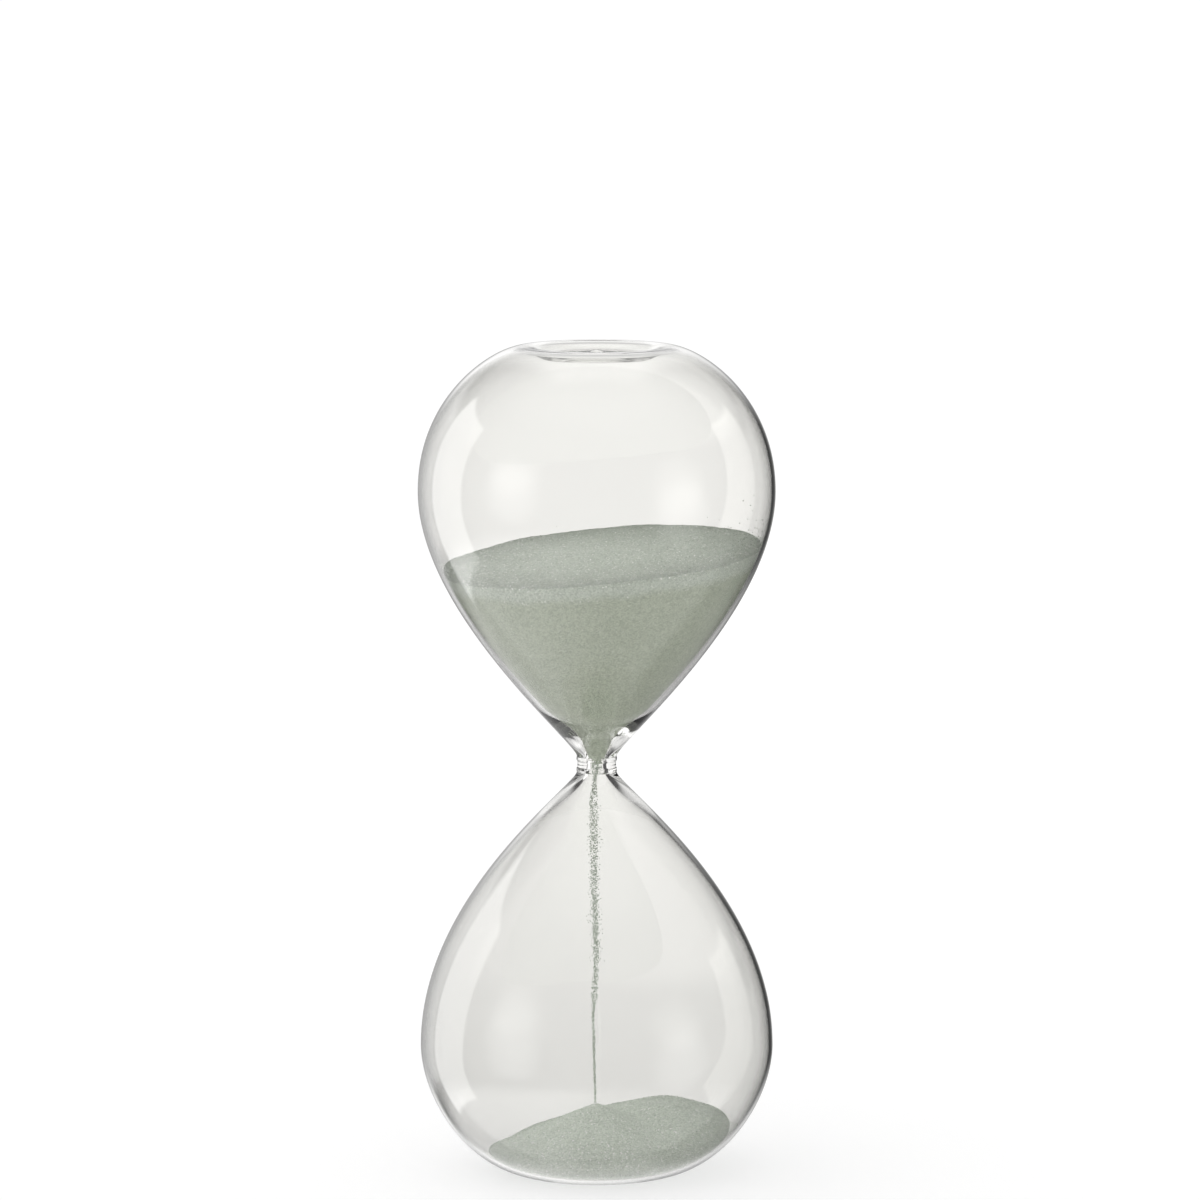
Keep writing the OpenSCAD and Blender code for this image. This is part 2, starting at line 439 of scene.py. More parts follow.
def lathe(name: str, outline: Outline, steps: int) -> bpy.types.Object:
    """Turns an outline round the Z axis.

    Args:
        name: The piece's name.
        outline: Pairs of radius and height, from pole to pole or back to its first point.
        steps: Number of segments in a full turn.

    Returns:
        The piece, closed, with its faces outwards.
    """
    deselect_all()
    bpy.ops.mesh.primitive_plane_add(size=MM)
    piece = bpy.context.object
    piece.name = piece.data.name = name
    bpy.ops.object.mode_set(mode="EDIT")
    bpy.ops.mesh.merge(type="CENTER")
    here = outline[0]
    bpy.ops.transform.translate(value=(here[0], 0, here[1]))
    for there in outline[1:]:
        move = (there[0] - here[0], 0, there[1] - here[1])
        bpy.ops.mesh.extrude_region_move(TRANSFORM_OT_translate={"value": move})
        here = there
    bpy.ops.mesh.select_all(action="SELECT")
    bpy.ops.mesh.spin(steps=steps, angle=FULL_TURN, center=(0, 0, 0), axis=(0, 0, 1))
    bpy.ops.mesh.select_all(action="SELECT")
    bpy.ops.mesh.remove_doubles(threshold=0.002 * MM)
    bpy.ops.mesh.normals_make_consistent(inside=False)
    bpy.ops.object.mode_set(mode="OBJECT")
    bpy.ops.object.shade_smooth()
    return piece


def dress(piece: bpy.types.Object, body: str, slot: str, *nodes: str) -> None:
    """Parents a finished piece to the body that it moves with and hides the nodes that it stands for."""
    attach(piece, body)
    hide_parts(*nodes)
    LOG.info("%s: %d faces", piece.name, len(piece.data.polygons))


# --- Blown glass --------------------------------------------------------------------------------

@dataclass(frozen=True)
class BulbShape:
    """Outlines of one bulb, as radius and height above the face that it is fused by."""

    height: float
    belly_r: float
    shoulder_h: float
    flank_fullness: float
    shoulder_fullness: float
    end_fullness: float
    ring_r: float
    wall: float = 0.9 * MM
    flare_wall: float = 1.9 * MM
    ring_wall: float = 1.0 * MM
    end_wall: float = 1.4 * MM
    ring_flat: float = 1.2 * MM
    recess_depth: float = 1.7 * MM
    recess_floor_r: float = 11 * MM
    neck_r: float = 5.05 * MM
    neck_run: float = 3.3 * MM
    mouth_r: float = 2.15 * MM
    throat_run: float = 3.5 * MM
    funnel_ease: float = 9 * MM
    long_steps: int = 56
    flare_step: int = 20
    short_steps: int = 14
    funnel_steps: int = 28

    @property
    def belly_z(self) -> float:
        """Height of the widest place."""
        return self.height - self.shoulder_h

    def _flank(self) -> Outline:
        """Returns the outside of the flank, from the throat to the belly."""
        return curve((self.neck_r, 0.0), (self.neck_r, self.neck_run),
                     (self.belly_r, self.belly_z * (1 - self.flank_fullness)),
                     (self.belly_r, self.belly_z), self.long_steps)

    def _shoulder(self, belly_r: float, ring_r: float, top: float) -> Outline:
        """Returns the outline from the belly over the shoulder to a ring."""
        rise = top - self.belly_z
        inward = ring_r + (belly_r - ring_r) * self.end_fullness
        return curve((belly_r, self.belly_z), (belly_r, self.belly_z + rise * self.shoulder_fullness),
                     (inward, top), (ring_r, top), self.long_steps)

    def _thin_flank(self, gap: float) -> Outline:
        """Returns the inside of the flank, whose wall thins out towards the belly."""
        points = []
        for i in range(self.flare_step, self.long_steps + 1):
            left = (self.long_steps - i) / (self.long_steps - self.flare_step)
            wall = self.wall + (self.flare_wall - self.wall) * left * left
            r, z = self._flank()[i - 1]
            points.append((r - wall - gap, z))
        return points

    def _funnel(self, start_r: float, thin: Outline) -> Outline:
        """Returns the inside of the throat, from its mouth out to the start of the thin flank."""
        way = Vector(thin[1]) - Vector(thin[0])
        handle = Vector(thin[0]) - way.normalized() * self.funnel_ease
        return curve((start_r, 0.0), (start_r, self.throat_run),
                     tuple(handle), thin[0], self.funnel_steps)

    def _pushed_in(self, ring_r: float, top: float, depth: float) -> Outline:
        """Returns the outline from a ring down to the flat middle of the end."""
        floor_r = self.recess_floor_r
        half = (ring_r - floor_r) / 2
        return curve((ring_r, top), (ring_r - half, top),
                     (floor_r + half, top - depth), (floor_r, top - depth), self.short_steps)

    def outside(self) -> Outline:
        """Returns the outer outline, to the flat middle of the end."""
        outer_r = self.ring_r + self.ring_flat / 2
        inner_r = self.ring_r - self.ring_flat / 2
        return [
            (self.neck_r, 0.0),
            *self._flank(),
            *self._shoulder(self.belly_r, outer_r, self.height),
            (inner_r, self.height),
            *self._pushed_in(inner_r, self.height, self.recess_depth),
        ]

    def inside(self, gap: float = 0.0) -> Outline:
        """Returns the inner outline, drawn in by the gap that the sand keeps."""
        top = self.height - self.ring_wall - gap
        outer_r = self.ring_r + self.ring_flat / 2
        inner_r = self.ring_r - self.ring_flat / 2
        thin = self._thin_flank(gap)
        return [
            (self.mouth_r - gap, 0.0),
            *self._funnel(self.mouth_r - gap, thin),
            *thin[1:],
            *self._shoulder(self.belly_r - self.wall - gap, outer_r, top),
            (inner_r, top),
            *self._pushed_in(inner_r, top, self.recess_depth + self.end_wall - self.ring_wall),
        ]


@dataclass
class BlownGlass:
    """The two bulbs, the throat tube between them and the seal of the fill hole."""

    turn_steps: int = 160
    fill_hole_r: float = 1.8 * MM
    pip_r: float = 4 * MM
    pip_h: float = 0.8 * MM
    neck_waist: float = 0.15 * MM
    bore_r: float = 1.65 * MM
    bead_r: float = 0.6 * MM
    bead_proud: float = 0.1 * MM
    neck_steps: int = 24
    seal_turn_steps: int = 64
    pip_steps: int = 16
    pip_fullness: float = 0.45
    glass: bpy.types.Material = field(init=False)
    seam: bpy.types.Material = field(init=False)

    def __post_init__(self) -> None:
        """Measures the frame and makes the two finishes."""
        low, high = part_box("neck_tube")
        self.neck_low, self.neck_high = low.z, high.z
        self.neck_half = (high.z - low.z) / 2
        self.upper = self._shape("upper_bulb", 36.8 * MM, (0.45, 0.67, 0.26), 18.3 * MM)
        self.lower = self._shape("lower_bulb", 32.7 * MM, (0.54, 0.45, 0.5), 17.8 * MM)
        self.glass = ClearGlass().material()
        self.seam = FusedSeam().material()

    @staticmethod
    def _shape(node: str, shoulder_h: float, fullness: tuple[float, float, float],
               ring_r: float) -> BulbShape:
        """Returns a bulb's shape at the size that its node has.

        Args:
            node: The bulb's node.
            shoulder_h: Height from the belly to the ring.
            fullness: How full the flank, the shoulder and the end are.
            ring_r: Middle radius of the ring at its end.
        """
        low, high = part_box(node)
        return BulbShape(high.z - low.z, (high.x - low.x) / 2, shoulder_h, *fullness, ring_r)

    def place_upper(self, outline: Outline) -> Outline:
        """Puts a bulb's outline on top of the throat tube."""
        return [(r, self.neck_high + z) for r, z in outline]

    def place_lower(self, outline: Outline) -> Outline:
        """Hangs a bulb's outline below the throat tube."""
        return [(r, self.neck_low - z) for r, z in outline]

    def _finish(self, piece: bpy.types.Object, is_seam: Callable[[Vector], bool]) -> None:
        """Gives a piece its glass, and the seam's finish to the faces that are fused."""
        piece.data.materials.append(self.glass)
        piece.data.materials.append(self.seam)
        for face in piece.data.polygons:
            corners = [piece.data.vertices[i].co for i in face.vertices]
            face.material_index = int(all(is_seam(corner) for corner in corners))

    def build(self) -> None:
        """Builds and dresses the four pieces."""
        self._build_upper()
        self._build_lower()
        self._build_throat()
        self._build_seal()

    def _build_upper(self) -> None:
        """Turns the upper bulb, open at the fill hole."""
        hole = self.fill_hole_r
        outer = self.upper.outside()
        inner = self.upper.inside()
        floor_out = outer[-1][1]
        floor_in = inner[-1][1]
        loop = [
            *outer,
            (self.pip_r, floor_out), (hole, floor_out), (hole, floor_in),
            *reversed(inner),
            outer[0],
        ]
        piece = lathe("upper_bulb_glass", self.place_upper(loop), self.turn_steps)
        weld_z = self.neck_high
        pip_z = self.neck_high + floor_out

        def is_seam(corner: Vector) -> bool:
            """Returns True on the throat's face, and where the plug and its pip are fused."""
            on_throat = abs(corner.z - weld_z) < SLACK
            is_level = pip_z - self.upper.end_wall - SLACK < corner.z < pip_z + SLACK
            return on_throat or is_level and math.hypot(corner.x, corner.y) < self.pip_r + SLACK

        self._finish(piece, is_seam)
        dress(piece, ROOT, GLASS_SLOT, "upper_bulb")

    def _build_lower(self) -> None:
        """Turns the lower bulb, which is closed at its end."""
        outer = self.lower.outside()
        inner = self.lower.inside()
        loop = [(0.0, outer[-1][1]), *reversed(outer), *inner, (0.0, inner[-1][1])]
        piece = lathe("lower_bulb_glass", self.place_lower(loop), self.turn_steps)
        weld_z = self.neck_low
        self._finish(piece, lambda corner: abs(corner.z - weld_z) < SLACK)
        dress(piece, ROOT, GLASS_SLOT, "lower_bulb")

    def _build_throat(self) -> None:
        """Turns the throat tube with its waist, its two weld beads and its bore."""
        half = self.neck_half
        neck_r = self.upper.neck_r
        middle = (self.neck_high + self.neck_low) / 2
        steps = self.neck_steps
        shares = [i / steps for i in range(-steps, steps + 1)]
        loop = []
        for share in shares:
            z = half * share
            waist = neck_r - self.neck_waist * (1 - share * share)
            edge = min(abs(half - self.bead_r - abs(z)) / self.bead_r, 1.0)
            bead = (self.bead_proud + neck_r - waist) * math.sqrt(1 - edge * edge)
            loop.append((waist + bead, middle + z))
        for share in reversed(shares):
            bore = self.bore_r + (self.upper.mouth_r - self.bore_r) * share * share
            loop.append((bore, middle + half * share))
        loop.append(loop[0])
        piece = lathe("throat_tube_glass", loop, self.turn_steps)
        self._finish(piece, lambda corner: abs(abs(corner.z - middle) - half) < SLACK)
        dress(piece, ROOT, GLASS_SLOT, "neck_tube")

    def _build_seal(self) -> None:
        """Turns the melted plug and its pip."""
        floor_out = self.upper.outside()[-1][1]
        floor_in = self.upper.inside()[-1][1]
        tip = floor_out + self.pip_h
        loop = [
            (0.0, floor_in), (self.fill_hole_r, floor_in), (self.fill_hole_r, floor_out),
            (self.pip_r, floor_out),
            *curve((self.pip_r, floor_out), (self.pip_r * (1 - self.pip_fullness), floor_out),
                   (self.pip_r * self.pip_fullness, tip), (0.0, tip), self.pip_steps),
        ]
        piece = lathe("fill_seal_glass", self.place_upper(loop), self.seal_turn_steps)
        pip_z = self.neck_high + floor_out

        def is_seam(corner: Vector) -> bool:
            """Returns True on the plug's side and under its pip."""
            radius = math.hypot(corner.x, corner.y)
            return corner.z < pip_z + SLACK and radius > self.fill_hole_r - SLACK

        self._finish(piece, is_seam)
        dress(piece, ROOT, GLASS_SLOT, "fill_seal")


# --- Sand ---------------------------------------------------------------------------------------

class Grain(Enum):
    """How big the grains of a scatter are, as a diameter."""

    LYING = 0.36 * MM
    FALLING = 0.32 * MM


class Scatter:
    """Lays copies of one rough grain on a set of places, turned and sized at random."""

    roughness = 0.16
    smallest = 0.65
    largest = 1.2

    def __init__(self, material: bpy.types.Material) -> None:
        """Models the grain that is copied and the rule that copies it."""
        self.material = material
        deselect_all()
        bpy.ops.mesh.primitive_ico_sphere_add(subdivisions=1, radius=0.5)
        self.grain = bpy.context.object
        self.grain.name = "grain_pattern"
        bpy.ops.object.mode_set(mode="EDIT")
        bpy.ops.transform.vertex_random(offset=self.roughness, seed=4)
        bpy.ops.object.mode_set(mode="OBJECT")
        self.grain.data.materials.append(material)
        self.rule = self._rule()

    def _rule(self) -> bpy.types.NodeTree:
        """Returns the node group that puts a turned and sized grain on every point."""
        tree = bpy.data.node_groups.new("scatter_grains", "GeometryNodeTree")
        tree.interface.new_socket("Geometry", in_out="INPUT", socket_type="NodeSocketGeometry")
        tree.interface.new_socket("Geometry", in_out="OUTPUT", socket_type="NodeSocketGeometry")
        bench = NodeBench(tree)
        given = bench.node("NodeGroupInput").outputs["Geometry"]
        pattern = bench.node("GeometryNodeObjectInfo", {}, {"Object": self.grain}).outputs["Geometry"]
        self.size = bench.node("ShaderNodeValue")
        turn = bench.node("FunctionNodeRandomValue", {"data_type": "FLOAT_VECTOR"}, {
            0: (0.0, 0.0, 0.0), 1: (FULL_TURN,) * 3, "Seed": 1,
        })
        stretch = bench.node("FunctionNodeRandomValue", {"data_type": "FLOAT_VECTOR"}, {
            0: (self.smallest,) * 3, 1: (self.largest,) * 3, "Seed": 2,
        })
        scaled = bench.node("ShaderNodeVectorMath", {"operation": "SCALE"}, {
            0: stretch.outputs[0], "Scale": self.size.outputs[0],
        })
        copies = bench.node("GeometryNodeInstanceOnPoints", {}, {
            "Points": given, "Instance": pattern,
            "Rotation": turn.outputs[0], "Scale": scaled.outputs[0],
        })
        real = bench.node("GeometryNodeRealizeInstances", {}, {"Geometry": copies.outputs[0]})
        bench.node("NodeGroupOutput", {}, {"Geometry": real.outputs[0]})
        return tree

    def lay(self, name: str, places: list[Vector], size: Grain) -> bpy.types.Object:
        """Puts a grain on every place.

        Args:
            name: The new piece's name.
            places: Centres of the grains.
            size: How big they are.

        Returns:
            One piece that holds all the grains.
        """
        deselect_all()
        mesh = bpy.data.meshes.new(name)
        mesh.from_pydata([tuple(place) for place in places], [], [])
        piece = bpy.data.objects.new(name, mesh)
        bpy.context.collection.objects.link(piece)
        bpy.context.view_layer.objects.active = piece
        piece.select_set(True)
        self.size.outputs[0].default_value = size.value
        spread = piece.modifiers.new("grains", "NODES")
        spread.node_group = self.rule
        bpy.ops.object.modifier_apply(modifier=spread.name)
        return piece

    def tidy(self) -> None:
        """Removes the pattern once every scatter is laid."""
        bpy.data.objects.remove(self.grain)


def join(body: bpy.types.Object, *others: bpy.types.Object) -> None:
    """Makes several pieces one, which keeps the name of the first."""
    deselect_all()
    for piece in (body, *others):
        piece.select_set(True)
    bpy.context.view_layer.objects.active = body
    bpy.ops.object.join()


@dataclass
class PouredSand:
    """A closed body of sand that lies against a turned wall under a free surface."""

    name: str
    wall: Outline
    steady: int
    surface: Callable[[float, float], float]
    segments: int = 192
    steady_rows: int = 24
    wall_rows: int = 66
    top_rows: int = 70
    grit: float = 0.1 * MM
    edge: float = 0.3 * MM
    reach_steps: int = 64
    halvings: int = 40
    crease: float = math.radians(40)
    stretch: Outline = field(init=False)

    def __post_init__(self) -> None:
        """Takes the part of the wall along which the surface can meet it."""
        self.stretch = self.wall[self.steady:]

    def along(self, share: float) -> Point:
        """Returns the point at a share of the wall's moving stretch, from its start."""
        place = share * (len(self.stretch) - 1)
        index = min(int(place), len(self.stretch) - 2)
        t = place - index
        (r0, z0), (r1, z1) = self.stretch[index], self.stretch[index + 1]
        return r0 + (r1 - r0) * t, z0 + (z1 - z0) * t

    def meets(self, turn: float) -> float:
        """Returns the share of the wall at which the surface meets it, by halving."""
        low, high = 0.0, 1.0
        for _ in range(self.halvings):
            middle = (low + high) / 2
            r, z = self.along(middle)
            if z < self.surface(r * math.cos(turn), r * math.sin(turn)):
                low = middle
            else:
                high = middle
        return low

    def reach(self, turn: float) -> float:
        """Returns how far out grains can lie on the surface at a turn."""
        step = FULL_TURN / self.reach_steps
        return self.along(self.meets(round(turn / step) * step))[0] - self.edge

    def build(self) -> bpy.types.Object:
        """Shapes a sphere into the body and returns it."""
        rows = self.steady_rows + self.wall_rows + self.top_rows
        deselect_all()
        bpy.ops.mesh.primitive_uv_sphere_add(segments=self.segments, ring_count=rows, radius=1)
        piece = bpy.context.object
        piece.name = piece.data.name = self.name
        meets: dict[int, float] = {}
        for vertex in piece.data.vertices:
            row = round(math.acos(max(-1.0, min(1.0, -vertex.co.z))) / math.pi * rows)
            turn = math.atan2(vertex.co.y, vertex.co.x) if 0 < row < rows else 0.0
            key = round(turn * self.segments / FULL_TURN)
            if key not in meets:
                meets[key] = self.meets(turn)
            vertex.co = self._place(row, turn, meets[key])
        bpy.ops.object.shade_smooth_by_angle(angle=self.crease)
        return piece

    def _place(self, row: int, turn: float, meet: float) -> Vector:
        """Returns where the vertex of one row and turn lies."""
        if row <= self.steady_rows:
            share = row / self.steady_rows * self.steady
            index = min(int(share), self.steady - 1)
            t = share - index
            (r0, z0), (r1, z1) = self.wall[index], self.wall[index + 1]
            r, z = r0 + (r1 - r0) * t, z0 + (z1 - z0) * t
        elif row <= self.steady_rows + self.wall_rows:
            share = (row - self.steady_rows) / self.wall_rows
            r, z = self.along(meet * share)
            r -= self.grit * (0.5 + 0.5 * noise.noise(Vector((turn * 30, z / MM, r / MM))))
        else:
            edge, _ = self.along(meet)
            share = (row - self.steady_rows - self.wall_rows) / self.top_rows
            r = edge * (1 - share)
            z = self.surface(r * math.cos(turn), r * math.sin(turn))
        return Vector((r * math.cos(turn), r * math.sin(turn), z))


def swell(x: float, y: float, length: float, height: float) -> float:
    """Returns a gentle rise and fall of a surface, the same on every run."""
    return height * noise.noise(Vector((x / length, y / length, 0.5)))


@dataclass
class Sand:
    """The charge above, the thread and loose grains that fall, and the heap below."""

    glass: BlownGlass
    gap: float = 0.15 * MM
    level: float = 53 * MM
    slope_x: float = math.tan(math.radians(5))
    slope_y: float = math.tan(math.radians(3))
    heap_slope: float = math.tan(math.radians(25))
    bank_slope: float = math.tan(math.radians(17))
    bank_h: float = 14.8 * MM
    bank_x: float = 17 * MM
    bank_y: float = 14 * MM
    bank_top_r: float = 6 * MM
    ripple_length: float = 1.1 * MM
    upper_swell: Point = (14 * MM, 0.5 * MM)
    upper_ripple: float = 0.12 * MM
    lower_swell: Point = (11 * MM, 0.3 * MM)
    lower_ripple: float = 0.1 * MM
    heap_tip: float = 1 * MM
    valley: float = 0.4 * MM
    column_steps: int = 12
    upper_count: int = 5000
    lower_count: int = 4000
    clinging_count: int = 60
    thread_count: int = 2100
    fuzz_count: int = 480
    throat_count: int = 170
    # Share of the fall, sideways place and radius of the thread, in mm
    thread: tuple[tuple[float, float, float], ...] = (
        (0.0, -0.1, 0.5), (0.03, -0.6, 0.6), (0.1, -0.8, 1.1), (0.2, -0.75, 1.1), (0.32, -0.7, 0.8),
        (0.43, -0.36, 0.68), (0.57, -0.1, 0.68), (0.67, -0.6, 0.9), (0.72, -0.95, 0.42),
        (0.83, -0.69, 0.36), (1.0, -0.4, 0.3),
    )

    def __post_init__(self) -> None:
        """Measures the frame, makes the finish and the grain that is scattered."""
        self.middle = (self.glass.neck_low + self.glass.neck_high) / 2
        low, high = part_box("sand_stream")
        self.heap_h, self.stream_z = low.z, high.z
        # Two copies of one sand: the loose one with painted light at its foot, the other with painted
        # shade and a painted highlight under the rim.
        self.loose = SageSand().material("sage_sand_loose_foot_light", False)
        self.packed_shade = SageSand().material("sage_sand_packed_shade", True)
        self.scatter = Scatter(self.loose)
        self.draw = random.Random(29)

    def upper_surface(self, x: float, y: float) -> float:
        """Returns the height of the upper sand at a place."""
        plane = self.middle + self.level + self.slope_x * x + self.slope_y * y
        return plane + swell(x, y, *self.upper_swell) + swell(x, y, self.ripple_length, self.upper_ripple)

    def lower_surface(self, x: float, y: float) -> float:
        """Returns the height of the lower sand at a place."""
        rounded = math.hypot(math.hypot(x, y), self.heap_tip) - self.heap_tip
        heap = self.heap_h - self.heap_slope * rounded
        away = math.hypot(x - self.bank_x, y - self.bank_y)
        bank = self.bank_h - self.bank_slope * max(away - self.bank_top_r, 0.0)
        top = (heap + bank + math.hypot(heap - bank, self.valley)) / 2 - self.valley / 2
        return top + swell(x, y, *self.lower_swell) + swell(x, y, self.ripple_length, self.lower_ripple)

    def build(self) -> None:
        """Builds and dresses every piece of sand."""
        self._build_upper()
        self._build_lower()
        self._build_thread()
        self._build_loose()
        self.scatter.tidy()

    def _skin(self, poured: PouredSand, count: int) -> list[Vector]:
        """Returns places for a number of grains that lie on the surface of poured sand."""
        places = []
        for _ in range(count):
            turn = self.draw.uniform(0, FULL_TURN)
            radius = poured.reach(turn) * math.sqrt(self.draw.random())
            x, y = radius * math.cos(turn), radius * math.sin(turn)
            places.append(Vector((x, y, poured.surface(x, y))))
        return places

    def _build_upper(self) -> None:
        """Pours the upper charge, down through the throat."""
        glass = self.glass
        half = glass.neck_half
        mouth = glass.upper.mouth_r
        steps = self.column_steps
        column = [(0.0, self.middle + half / 4)]
        for i in range(steps // 2, steps + 1):
            share = i / steps
            column.append((glass.bore_r + (mouth - glass.bore_r) * share * share - self.gap,
                           self.middle + half * share))
        wall = [*column, *glass.place_upper(glass.upper.inside(self.gap))[1:]]
        poured = PouredSand("upper_sand_charge", wall, len(column) - 1, self.upper_surface)
        piece = poured.build()
        grains = self.scatter.lay("upper_grains", self._skin(poured, self.upper_count), Grain.LYING)
        grains_above = self.scatter.lay("clinging_grains", self._clinging(poured), Grain.FALLING)
        loosened = []
        for _ in range(self.throat_count):
            turn = self.draw.uniform(0, FULL_TURN)
            off = (glass.bore_r - 0.3 * MM) * math.sqrt(self.draw.random())
            z = self.draw.uniform(glass.neck_low + 0.2 * MM, self.middle + half / 2)
            loosened.append(Vector((off * math.cos(turn), off * math.sin(turn), z)))
        grains_below = self.scatter.lay("loosened_grains", loosened, Grain.FALLING)
        # The body gets the copy with painted shade below its rim.
        piece.data.materials.append(self.packed_shade)
        join(piece, grains, grains_above, grains_below)
        dress(piece, ROOT, SAND_SLOT, "upper_sand")

    def _clinging(self, poured: PouredSand) -> list[Vector]:
        """Returns places for grains left on the glass above the sand, most of them at the right."""
        places = []
        for _ in range(self.clinging_count):
            turn = math.radians(self.draw.gauss(-20, 45))
            share = poured.meets(turn) + abs(self.draw.gauss(0, 0.02))
            r, z = poured.along(min(share, 0.97))
            places.append(Vector((r * math.cos(turn), r * math.sin(turn), z)))
        return places

    def _build_lower(self) -> None:
        """Pours the fresh heap and the settled bank behind it."""
        glass = self.glass
        inner = glass.place_lower(glass.lower.inside(self.gap))
        wall = [(0.0, inner[-1][1]), *reversed(inner)]
        wall = wall[: len(wall) // 2 + 10]
        poured = PouredSand("lower_sand_heap", wall, 1, self.lower_surface, steady_rows=4)
        piece = poured.build()
        grains = self.scatter.lay("lower_grains", self._skin(poured, self.lower_count), Grain.LYING)
        piece.data.materials.append(self.loose)
        join(piece, grains)
        dress(piece, ROOT, SAND_SLOT, "lower_sand")

    def _thread(self, fall: float) -> tuple[float, float]:
        """Returns the sideways place and the radius of the thread at a share of its fall."""
        for (start, x0, r0), (end, x1, r1) in zip(self.thread, self.thread[1:]):
            if fall <= end:
                t = (fall - start) / (end - start)
                t = t * t * (3 - 2 * t)
                return (x0 + (x1 - x0) * t) * MM, (r0 + (r1 - r0) * t) * MM
        return self.thread[-1][1] * MM, self.thread[-1][2] * MM

    def _build_thread(self) -> None:
        """Drops the thread of sand, a wandering column of grains."""
        places = []
        length = self.stream_z - self.heap_h
        for _ in range(self.thread_count):
            fall = self.draw.random()
            x, radius = self._thread(fall)
            y = 0.3 * noise.noise(Vector((fall * 6, 5.1, 0.0))) * MM
            turn = self.draw.uniform(0, FULL_TURN)
            off = radius * math.sqrt(self.draw.random())
            places.append(Vector((x + off * math.cos(turn), y + off * math.sin(turn),
                                  self.stream_z - fall * length)))
        piece = self.scatter.lay("sand_thread", places, Grain.FALLING)
        dress(piece, ROOT, SAND_SLOT, "sand_stream")

    def _build_loose(self) -> None:
        """Drops the loose grains that fall beside the thread."""
        low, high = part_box("falling_grains")
        places = []
        for _ in range(self.fuzz_count):
            z = self.draw.uniform(low.z, high.z)
            middle_x, _ = self._thread((self.stream_z - z) / (self.stream_z - self.heap_h))
            turn = self.draw.uniform(0, FULL_TURN)
            off = 0.6 * MM + abs(self.draw.gauss(0, 0.65 * MM))
            x = middle_x + off * math.cos(turn)
            y = off * math.sin(turn)
            inside = min(1.0, (high.x - 0.2 * MM) / math.hypot(x, y))
            places.append(Vector((x * inside, y * inside, z)))
        piece = self.scatter.lay("loose_grains_falling", places, Grain.FALLING)
        dress(piece, LOOSE, SAND_SLOT, "falling_grains")


# --- Studio -------------------------------------------------------------------------------------

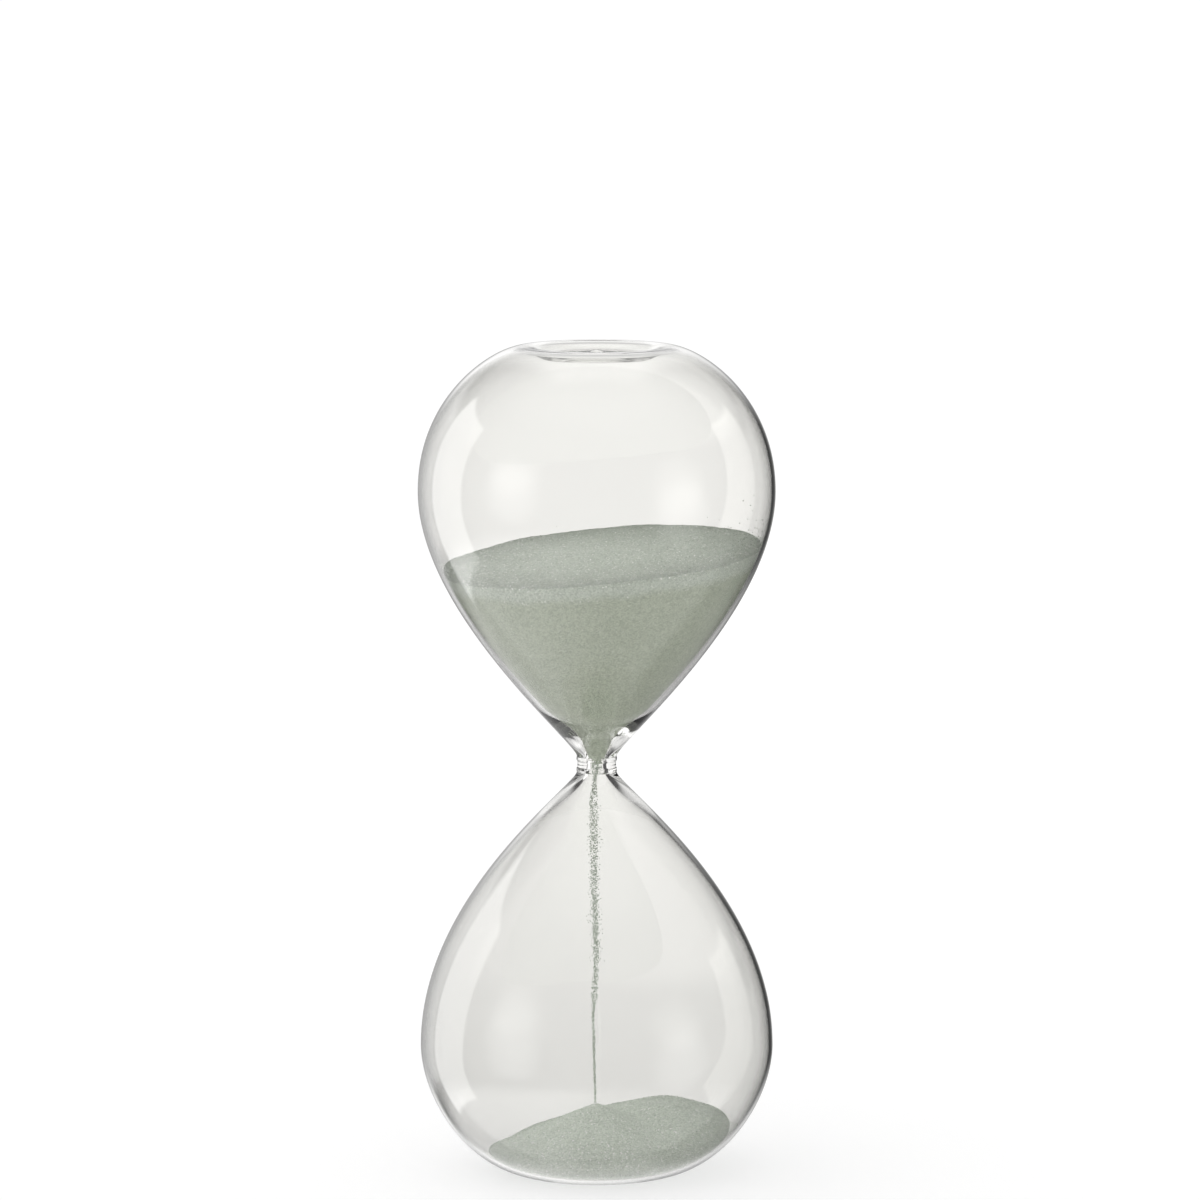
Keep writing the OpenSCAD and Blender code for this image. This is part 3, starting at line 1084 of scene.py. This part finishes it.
@dataclass
class Studio:
    """A pale board, soft light from all round, and the camera.

    The glass mirrors a dark studio with a few bright shapes in it, and all other light is even.
    Azimuths are in degrees from the camera, and heights are those of a unit vector.
    """

    distance: float = 1.645
    elevation: float = math.radians(8.9)
    aim_z: float = 0.147
    aim_x: float = 0.84 * MM
    lens: float = 193.9
    board: float = 60.0
    dark: float = 0.05
    panel: float = 1.25
    lamps: float = 0.8
    lamp_azimuth: float = 57.0
    lamp_edge: float = 0.91
    board_light: float = 0.4
    ends: float = 0.6
    ceiling: float = 0.2
    ground: float = 0.2
    left_ground: float = 0.55
    back: float = 0.4
    left_back_rise: float = 0.35
    even: float = 1.07
    side_fall: float = 0.14
    high_rise: float = 0.08
    high_side_fall: float = 0.4
    backdrop: float = 1.05

    def build(self) -> None:
        """Sets up the whole studio."""
        self._camera()
        self._board()
        self._surroundings()
        view = bpy.context.scene.view_settings
        view.view_transform = "Standard"
        cycles = bpy.context.scene.cycles
        cycles.max_bounces = 24
        cycles.transmission_bounces = 24
        cycles.glossy_bounces = 12
        cycles.transparent_max_bounces = 24

    def _camera(self) -> None:
        """Looks at the hourglass from a little above."""
        middle = (CAD_BOX[0][2] + CAD_BOX[1][2]) / 2
        place = Vector((
            self.aim_x,
            -self.distance * math.cos(self.elevation),
            middle + self.distance * math.sin(self.elevation),
        ))
        aim = Vector((self.aim_x, 0, self.aim_z))
        data = bpy.data.cameras.new("camera")
        data.lens = self.lens
        camera = bpy.data.objects.new("camera", data)
        camera.location = place
        camera.rotation_euler = (aim - place).to_track_quat("-Z", "Y").to_euler()
        bpy.context.scene.collection.objects.link(camera)
        bpy.context.scene.camera = camera

    def _board(self) -> None:
        """Lays the board that the hourglass stands on."""
        deselect_all()
        bpy.ops.mesh.primitive_plane_add(size=self.board)
        floor = bpy.context.object
        floor.name = "pale_floor"
        floor.data.materials.append(PaleFloor().material())

    def _surroundings(self) -> None:
        """Lights the hourglass from all round, with a tall panel at the left."""
        world = bpy.data.worlds.new("studio")
        bpy.context.scene.world = world
        world.use_nodes = True
        bench = NodeBench(world.node_tree)
        towards = bench.node("ShaderNodeTexCoord").outputs["Generated"]
        is_mirror = mirrored(bench)
        level = self._even(bench, towards) * (1 - is_mirror) + self._mirror(bench, towards) * is_mirror
        shown = bench.number("ShaderNodeLightPath", output="Is Camera Ray")
        light = level * (1 - shown) + shown * self.backdrop
        sky = bench.node("ShaderNodeBackground", {}, {"Color": (*WHITE, 1.0), "Strength": light})
        bench.node("ShaderNodeOutputWorld", {}, {"Surface": sky.outputs[0]})

    def _even(self, bench: NodeBench, towards: bpy.types.NodeSocket) -> Number:
        """Returns the even light, which falls off towards the upper right."""
        x, _, z = bench.axes(towards)
        side = x.rise(-0.7, 0.7)
        high = z.rise(0.25, 0.6) * (self.high_rise - side * self.high_side_fall)
        return self.even - side * self.side_fall + high

    def _mirror(self, bench: NodeBench, towards: bpy.types.NodeSocket) -> Number:
        """Returns the light of what the glass mirrors, in its direction."""
        x, y, z = bench.axes(towards)
        azimuth = bench.math("ARCTAN2", x, 0 - y) * math.degrees(1)
        panel = azimuth.between(-133, -98, 1.0) * z.between(-0.54, 0.52, 0.02)
        low_back = z.between(-0.35, 0.35, 0.06)
        left_rise = azimuth.rise(-165, -138) * self.left_back_rise
        left_back = (1 - azimuth.rise(-136, -132)) * (self.back + left_rise) * low_back
        right_back = azimuth.rise(162, 180) * self.back * low_back
        board = (1 - z.rise(-0.6, -0.3)) * azimuth.between(-122, 108, 4.0)
        left_lamp = self._lamp(bench, towards, -self.lamp_azimuth, 0.05)
        right_lamp = self._lamp(bench, towards, self.lamp_azimuth, -0.17)
        behind = x.between(-0.3, 0.3, 0.1) * y.rise(0.0, 0.3)
        ends = behind * (z.rise(0.0, 0.15) + 1 - z.rise(-0.35, -0.2))
        ceiling = z.rise(0.7, 0.95)
        ground = 1 - z.rise(-0.55, -0.35)
        left_ground = ground * (1 - x.rise(-0.6, 0.3))
        near = panel * self.panel + (left_lamp + right_lamp) * self.lamps + board * self.board_light
        far = left_back + right_back + ends * self.ends + ceiling * self.ceiling
        return self.dark + near + far + ground * self.ground + left_ground * self.left_ground

    def _lamp(self, bench: NodeBench, towards: bpy.types.NodeSocket, azimuth: float,
              rise: float) -> Number:
        """Returns the glow of a round soft lamp.

        Args:
            bench: The tree's bench.
            towards: The direction that is looked in.
            azimuth: The lamp's azimuth.
            rise: How high it hangs for each metre away.
        """
        turn = math.radians(azimuth)
        aim = Vector((math.sin(turn), -math.cos(turn), rise)).normalized()
        near = bench.number("ShaderNodeVectorMath", {"operation": "DOT_PRODUCT"},
                            {0: towards, 1: tuple(aim)}, output="Value")
        return near.rise(self.lamp_edge, 1.0)


def main() -> None:
    """Builds the hourglass and its studio."""
    logging.basicConfig(level=logging.INFO, format="%(message)s")
    Studio().build()
    glass = BlownGlass()
    glass.build()
    Sand(glass).build()


if __name__ == "__main__":
    main()
